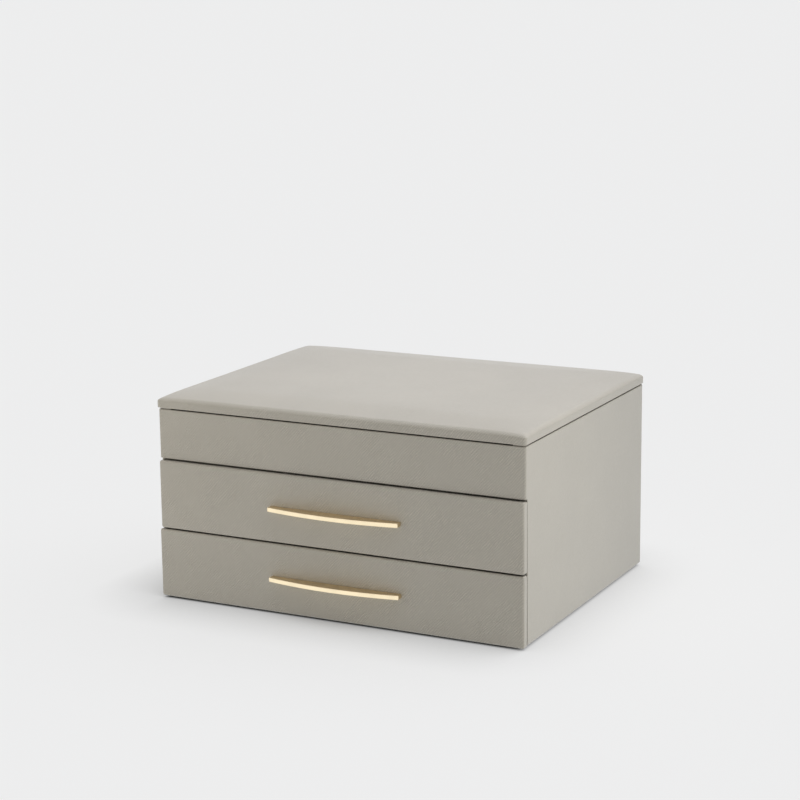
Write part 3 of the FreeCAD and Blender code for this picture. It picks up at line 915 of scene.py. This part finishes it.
def swell(made, pinned, most):
    """Runs cloth with inner pressure on the object's mesh; no point moves further than most."""
    mesh = made.data
    cloth = made.modifiers.new("cloth", "CLOTH")
    cloth.settings.quality = 5
    cloth.settings.use_pressure = True
    cloth.settings.uniform_pressure_force = CLOTH_PRESSURE
    cloth.settings.effector_weights.gravity = 0.0
    if pinned:
        group = made.vertex_groups.new(name="pinned")
        group.add(pinned, 1.0, "REPLACE")
        cloth.settings.vertex_group_mass = "pinned"
    cloth.point_cache.frame_start = 1
    cloth.point_cache.frame_end = CLOTH_FRAMES
    scene = bpy.context.scene
    for number in range(1, CLOTH_FRAMES + 1):
        scene.frame_set(number)
    graph = bpy.context.evaluated_depsgraph_get()
    swollen = [vertex.co.copy() for vertex in made.evaluated_get(graph).data.vertices]
    made.modifiers.remove(cloth)
    scene.frame_set(1)
    made.vertex_groups.clear()
    for vertex, target in zip(mesh.vertices, swollen):
        move = target - vertex.co
        if move.length > most:
            move = move.normalized() * most
        vertex.co += move
    mesh.update()


# --- Lid ---
def lid_rise(inset, aside):
    """Height of the padding above the lid's straight edge, inset from one side and aside from the next."""
    share, extent = LID_CORNER_ROLL
    shrink = 1 - share * math.exp(-aside / extent)
    rise = sum(height * (1 - math.exp(-inset / (reach * shrink))) for height, reach in LID_ROLL)
    share, extent = LID_CORNER_PULL
    return rise * (1 - share * math.exp(-aside / extent)) * MM


def lid_lines(half):
    """Grid lines over the lid, close together near its edges."""
    edge = [half - step * MM for step in LID_EDGE_STEPS]
    return [-place for place in edge] + evenly(-edge[-1], edge[-1], 5 * MM)[1:-1] + edge[::-1]


def lid_top(half_x, half_y, z_edge, x_lines, y_lines):
    """(points, faces) of the lid's padded top inside its rolled edge, swollen by a cloth simulation."""
    points = []
    faces = []
    rim = []
    row = len(x_lines)
    for j, y in enumerate(y_lines):
        for i, x in enumerate(x_lines):
            away = sorted(((half_x - abs(x)) / MM, (half_y - abs(y)) / MM))
            if min(i, j, row - 1 - i, len(y_lines) - 1 - j) < 2:
                rim.append(len(points))
            points.append(Vector((x, y, z_edge + lid_rise(*away))))
    for j in range(len(y_lines) - 1):
        for i in range(row - 1):
            a = j * row + i
            faces.append([a, a + 1, a + row + 1, a + row])
    sheet = new_object("lid_sheet", points, faces)
    swell(sheet, rim, LID_SWELL * MM)
    points = [vertex.co.copy() for vertex in sheet.data.vertices]
    drop_object(sheet)
    return points, faces


def lid_path(bottom, z_edge, leather):
    """The cover's section from its grid outwards, down, under the lid and back inside it, as (inset from
    the lid's side in millimetres, height, whether the padding lifts it)."""
    path = [(inset, z_edge, True) for inset in (1.9, 1.4, 1.0, 0.7, 0.45, 0.25, 0.1, 0.0)]
    path += [(0.0, bottom + share * (z_edge - bottom), False) for share in (0.75, 0.5, 0.25)]
    for angle in (0, 22.5, 45, 67.5, 90):
        turn = math.radians(angle)
        path.append((LID_FOLD * (1 - math.cos(turn)), bottom + LID_FOLD * MM * (1 - math.sin(turn)), False))
    path += [(inset, bottom, False) for inset in (2.5, 4.5, 6.5, 8.5, TURN_UNDER - 0.25)]
    path += [(TURN_UNDER, bottom + 0.25 * MM, False), (TURN_UNDER, bottom + leather, False)]
    path += [(inset, bottom + leather, False) for inset in (6.0, 2.5, leather / MM)]
    path += [(leather / MM, z_edge - 0.6 * MM, False)]
    path += [(inset, z_edge - leather, True) for inset in (1.2, 1.8)]
    return path


def lid_wrap():
    """Leatherette over the padding, folded round the bottom edge and glued under."""
    low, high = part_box("lid_cover")
    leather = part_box("lid_board")[0].z - low.z
    z_edge = low.z + LID_STRAIGHT * MM
    x_lines = lid_lines(high.x - LID_GRID_INSET * MM)
    y_lines = lid_lines(high.y - LID_GRID_INSET * MM)
    placed = stations(x_lines, y_lines, 8)
    top, top_faces = lid_top(high.x, high.y, z_edge, x_lines, y_lines)
    points = list(top)
    faces = list(top_faces)
    start = [j * len(x_lines) + i for _, _, _, i, j in placed]
    previous = start
    for inset, z, lifted in lid_path(low.z, z_edge, leather):
        radius = max(LID_CORNER - inset, 0.25) * MM
        made = ring(placed, high.x - inset * MM, high.y - inset * MM, radius, z)
        if lifted:
            for point in made:
                aside = max(high.x - abs(point.x), high.y - abs(point.y)) / MM
                point.z += lid_rise(inset, aside)
        following = add_ring(points, made)
        join_rings(faces, following, previous)
        previous = following
    offset = len(points)
    points.extend(point - Vector((0, 0, leather)) for point in top)
    faces.extend([index + offset for index in reversed(face)] for face in top_faces)
    join_rings(faces, [index + offset for index in start], previous)
    stretch = 1 + LID_STRETCH * MM / high.x
    points = [Vector((point.x * stretch + LID_SHIFT * MM, point.y, point.z)) for point in points]
    made = new_object("lid_wrap", points, faces)
    cut(made, leaf_recesses("lid", high.y + leather, low.z - leather, low.z + leather))
    finish_piece(made, "lid_cover", "leatherette", 55.0)


def lid_panel():
    """Velvet pad inside the lid round the mirror, softly crowned between its edges."""
    low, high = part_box("lid_lining")
    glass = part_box("lid_mirror")[1]
    window = glass + Vector((0.2, 0.2, 0.0)) * MM
    x_lines = evenly(low.x, high.x, 5 * MM)
    y_lines = evenly(low.y, high.y, 5 * MM)
    placed = stations(x_lines, y_lines, 6)
    outer_edge = ((0.0, 1.2), (0.008, 0.8), (0.03, 0.55))  # share of the way in, height in millimetres
    inner_edge = ((0.97, 0.55), (0.992, 0.8), (1.0, 1.2))
    profile = [(0.0, high.z)] + [(share, low.z + height * MM) for share, height in outer_edge]
    for share in [step / 10 for step in range(1, 10)]:
        profile.append((share, low.z + LID_CROWN * MM * (2 * share - 1) ** 4))
    profile += [(share, low.z + height * MM) for share, height in inner_edge] + [(1.0, high.z)]
    points = []
    faces = []
    rings = []
    for share, z in profile:
        half = high.lerp(window, share)
        made = ring(placed, half.x, half.y, (2.5 - 2.0 * share) * MM, z)
        if z < high.z:
            made = [wobble(point, 0.1 * MM, 18 * MM) for point in made]
        rings.append(add_ring(points, made))
    for index, one in enumerate(rings):
        join_rings(faces, rings[(index + 1) % len(rings)], one)
    made = new_object("lid_lining_velvet", points, faces)
    fix_normals(made)
    finish_piece(made, "lid_lining", "velvet", 60.0)


def lid_glass():
    """The lid's mirror, with a shallow ground bevel round its edge."""
    low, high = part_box("lid_mirror")
    placed = stations((low.x, high.x), (low.y, high.y), 4)
    eased = 0.2 * MM
    bevelled = low.z + MIRROR_BEVEL_DROP * MM
    path = ((0.0, high.z), (0.0, bevelled + eased), (eased, bevelled), (MIRROR_BEVEL * MM, low.z))
    points = []
    faces = []
    rings = []
    for inset, z in path:
        rings.append(add_ring(points, ring(placed, high.x - inset, high.y - inset, 0.6 * MM, z)))
    for one, following in zip(rings, rings[1:]):
        join_rings(faces, following, one)
    faces.append(rings[0])
    faces.append(rings[-1][::-1])
    made = new_object("lid_mirror_glass", points, faces)
    fix_normals(made)
    finish_piece(made, "lid_mirror", "mirror", 3.0)


# --- Drawers ---
def drawer_front(level):
    """Leatherette over a drawer front's face and round its four edges."""
    node = level + "_drawer_front_cover"
    low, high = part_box(node)
    leather = case_leather()
    inner_low = low + Vector((leather, leather, leather))
    inner_high = Vector((high.x - leather, high.y, high.z - leather))
    radii = (FRONT_ROUND * MM, 0.0)
    skin = cup_mesh((low, high), (inner_low, inner_high), (1, 1), radii, 4 * MM, 0.0)
    finish_piece(new_object(level + "_drawer_front_wrap", *skin), node, "leatherette")


def drawer_handle(level):
    """A flat brass plate, straight against the drawer front and bowed in front, its edges eased."""
    node = level + "_drawer_handle"
    low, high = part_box(node)
    depth = HANDLE_END_DEPTH * MM
    bow = high.y - low.y - depth
    points, faces = slab_mesh(Vector((low.x, high.y - depth, low.z)), high, HANDLE_EDGE * MM, 1.5 * MM)
    half = (high.x - low.x) / 2
    middle = (high.x + low.x) / 2
    for point in points:
        share = min(1.0, (high.y - point.y) / depth / 0.9)  # the front tenth bows as one
        point.y -= bow * (1 - ((point.x - middle) / half) ** 2) * share
    finish_piece(new_object(level + "_drawer_pull", points, faces), node, "brass")


def drawer_box(level):
    """The drawer's boards, covered in suede-like paper with softened edges."""
    for part in ("side_left", "side_right", "back", "bottom"):
        node = f"{level}_drawer_{part}"
        low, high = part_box(node)
        made = new_object(node + "_board", *slab_mesh(low, high, 0.4 * MM, 12 * MM))
        finish_piece(made, node, "board")


def drawer_velvet(level):
    """Velvet-covered card standing in the drawer: its walls, floor and rounded top edge."""
    node = level + "_drawer_lining"
    low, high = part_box(node)
    wall = 1.2 * MM
    floor = 1.5 * MM
    inner_low = low + Vector((wall, wall, floor))
    inner_high = Vector((high.x - wall, high.y - wall, high.z))
    skin = cup_mesh((low, high), (inner_low, inner_high), (2, 1), (0.0, 0.9 * MM), 5 * MM, 0.5 * MM)
    finish_piece(new_object(level + "_drawer_velvet", *skin), node, "velvet")


def upper_dividers():
    """The upper drawer's long divider and its three cross dividers."""
    node = "upper_drawer_dividers_cross"
    low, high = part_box(node)
    long_low, long_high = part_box("upper_drawer_divider_long")
    thickness = long_high.y - long_low.y
    outer = (high.x - low.x - thickness) / 2
    crosses = []
    for index, x in enumerate((-outer, 0.0, outer)):
        side = Vector((x - thickness / 2, low.y, low.z))
        other_side = Vector((x + thickness / 2, high.y, high.z))
        panel = slab_mesh(side, other_side, DIVIDER_ROUND * MM, 4 * MM)
        crosses.append((new_object(f"upper_drawer_divider_cross_{index + 1}", *panel), node, x))
    slotted_dividers("upper_drawer_divider_long", crosses)


def lower_divider():
    """The lower drawer's one divider."""
    panel = velvet_panel("lower_drawer_divider", DIVIDER_ROUND, 0.0)
    finish_piece(panel, "lower_drawer_divider", "velvet")


# --- CAD nodes shown as they are ---
def paint_nodes():
    """Finishes for the pieces that keep their CAD shape, by a word in their names."""
    slots = {"board": "board", "hinge": "brass", "handle_screws": "steel", "foam": "foam"}
    for name, node in frame["nodes"].items():
        for word, slot in slots.items():
            if word in name:
                node.data.materials.clear()
                node.data.materials.append(finishes[slot])


# --- Studio ---
def studio_floor():
    """A plain pale floor that fills the picture; it glows, and its glow is dimmed near the chest as a
    painted shadow.
    """
    corners = [(x * FLOOR_SIZE, y * FLOOR_SIZE, 0) for x, y in ((-1, -1), (1, -1), (1, 1), (-1, 1))]
    floor = new_object("studio_floor", corners, [[0, 1, 2, 3]])
    s = Surface("studio_floor")
    grain = s.noise(s.place, 0.02)
    s.set(Base_Color=s.tones(grain, FLOOR_COLOUR, 1.0, 1.006), Roughness=1.0, Specular_IOR_Level=0.0)
    # painted shadow: ambient occlusion, leaning right, dims the floor's glow near the chest
    painted_shadow_mask = s.openness(FLOOR_SHADE_REACH, normal=s.combine(*FLOOR_SHADE_LEAN))
    glow_with_painted_shadow = s.times(s.math("SQRT", s.spread(painted_shadow_mask, 0.15, 1.0)), FLOOR_GLOW)
    s.set(Emission_Color=(1.0, 1.0, 1.0, 1.0), Emission_Strength=glow_with_painted_shadow)
    floor.data.materials.append(s.material)
    floor.visible_glossy = False
    floor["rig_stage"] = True


def studio_light():
    """A pale surround, brightest overhead, that the camera sees as an even backdrop."""
    world = bpy.data.worlds.new("studio")
    bpy.context.scene.world = world
    s = Nodes(world)
    place = s.node("TexCoord").outputs["Generated"]
    ray = s.node("LightPath").outputs
    plain = s.vector("ADD", lobe(s, place, *SOFTBOX), SKY_BASE)
    band = s.vector("ADD", lobe(s, place, *SHEEN_BAND), GLOSSY_BASE)
    overhead = s.mix(ray["Is Glossy Ray"], plain, s.vector("ADD", band, plain), "VECTOR")
    above = s.math("GREATER_THAN", s.parts(place)["Z"], 0.0)
    around = s.mix(above, BELOW, overhead, "VECTOR")
    seen = s.mix(ray["Is Camera Ray"], around, BACKDROP, "VECTOR")
    background = s.node("Background", {"Color": seen})
    s.node("OutputWorld", {"Surface": background.outputs[0]})


def lobe(s, place, direction, even, soft, colour):
    """A soft-edged round patch of light in the surround."""
    values = {
        "Value": s.vector("DOT_PRODUCT", place, Vector(direction).normalized()),
        "From Min": math.cos(math.radians(even + soft)),
        "From Max": math.cos(math.radians(even)),
    }
    share = s.node("MapRange", values, interpolation_type="SMOOTHSTEP")
    return s.vector("MULTIPLY", share.outputs["Result"], colour)


def chest_lamps():
    """Three weak soft lamps, from the left, the right and above, that light only the chest."""
    chest = bpy.data.collections.new("chest")
    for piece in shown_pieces():
        chest.objects.link(piece)
    for index, (place, target, watts, colour) in enumerate(CHEST_LAMPS):
        lamp = bpy.data.objects.new(f"lamp_{index + 1}", bpy.data.lights.new(f"lamp_{index + 1}", "AREA"))
        lamp.data.size = LAMP_SIZE
        lamp.data.spread = math.radians(LAMP_SPREAD)
        lamp.data.energy = watts
        lamp.data.color = colour
        lamp.location = place
        aim = Vector(target) - Vector(place)
        lamp.rotation_mode = "QUATERNION"
        lamp.rotation_quaternion = aim.to_track_quat("-Z", "Y")
        lamp.visible_camera = False
        lamp.visible_glossy = False
        lamp.light_linking.receiver_collection = chest
        bpy.context.scene.collection.objects.link(lamp)


def studio_camera():
    """The camera, turned by its yaw, pitch and roll."""
    yaw = math.radians(CAMERA_YAW)
    pitch = math.radians(CAMERA_PITCH)
    roll = math.radians(CAMERA_ROLL)
    ahead = Vector((math.sin(yaw) * math.cos(pitch), math.cos(yaw) * math.cos(pitch), -math.sin(pitch)))
    level = Vector((math.cos(yaw), -math.sin(yaw), 0.0))
    above = level.cross(ahead)
    right = level * math.cos(roll) + above * math.sin(roll)
    up = above * math.cos(roll) - level * math.sin(roll)
    camera = bpy.data.objects.new("camera", bpy.data.cameras.new("camera"))
    camera.data.lens = CAMERA_LENS
    camera.data.sensor_width = CAMERA_SENSOR
    camera.data.clip_end = CAMERA_REACH
    turn = Matrix((right, up, -ahead)).transposed().to_4x4()
    camera.matrix_world = Matrix.Translation(CAMERA_PLACE) @ turn
    bpy.context.scene.collection.objects.link(camera)
    bpy.context.scene.camera = camera


# --- Everything ---
finishes = {
    "leatherette": leatherette(),
    "velvet": velvet(),
    "board": suede_paper(),
    "felt": felt(),
    "foam": foam(),
    "brass": brass(),
    "steel": steel(),
    "mirror": mirror(),
}

paint_nodes()
case_wrap()
base_felt()
rim_pads()
tray_lining()
tray_dividers()
ring_rolls()
lid_wrap()
lid_panel()
lid_glass()
for drawer in ("upper", "lower"):
    drawer_front(drawer)
    drawer_handle(drawer)
    drawer_box(drawer)
    drawer_velvet(drawer)
upper_dividers()
lower_divider()
studio_floor()
studio_light()
chest_lamps()
studio_camera()
bpy.context.scene.view_settings.view_transform = "Standard"
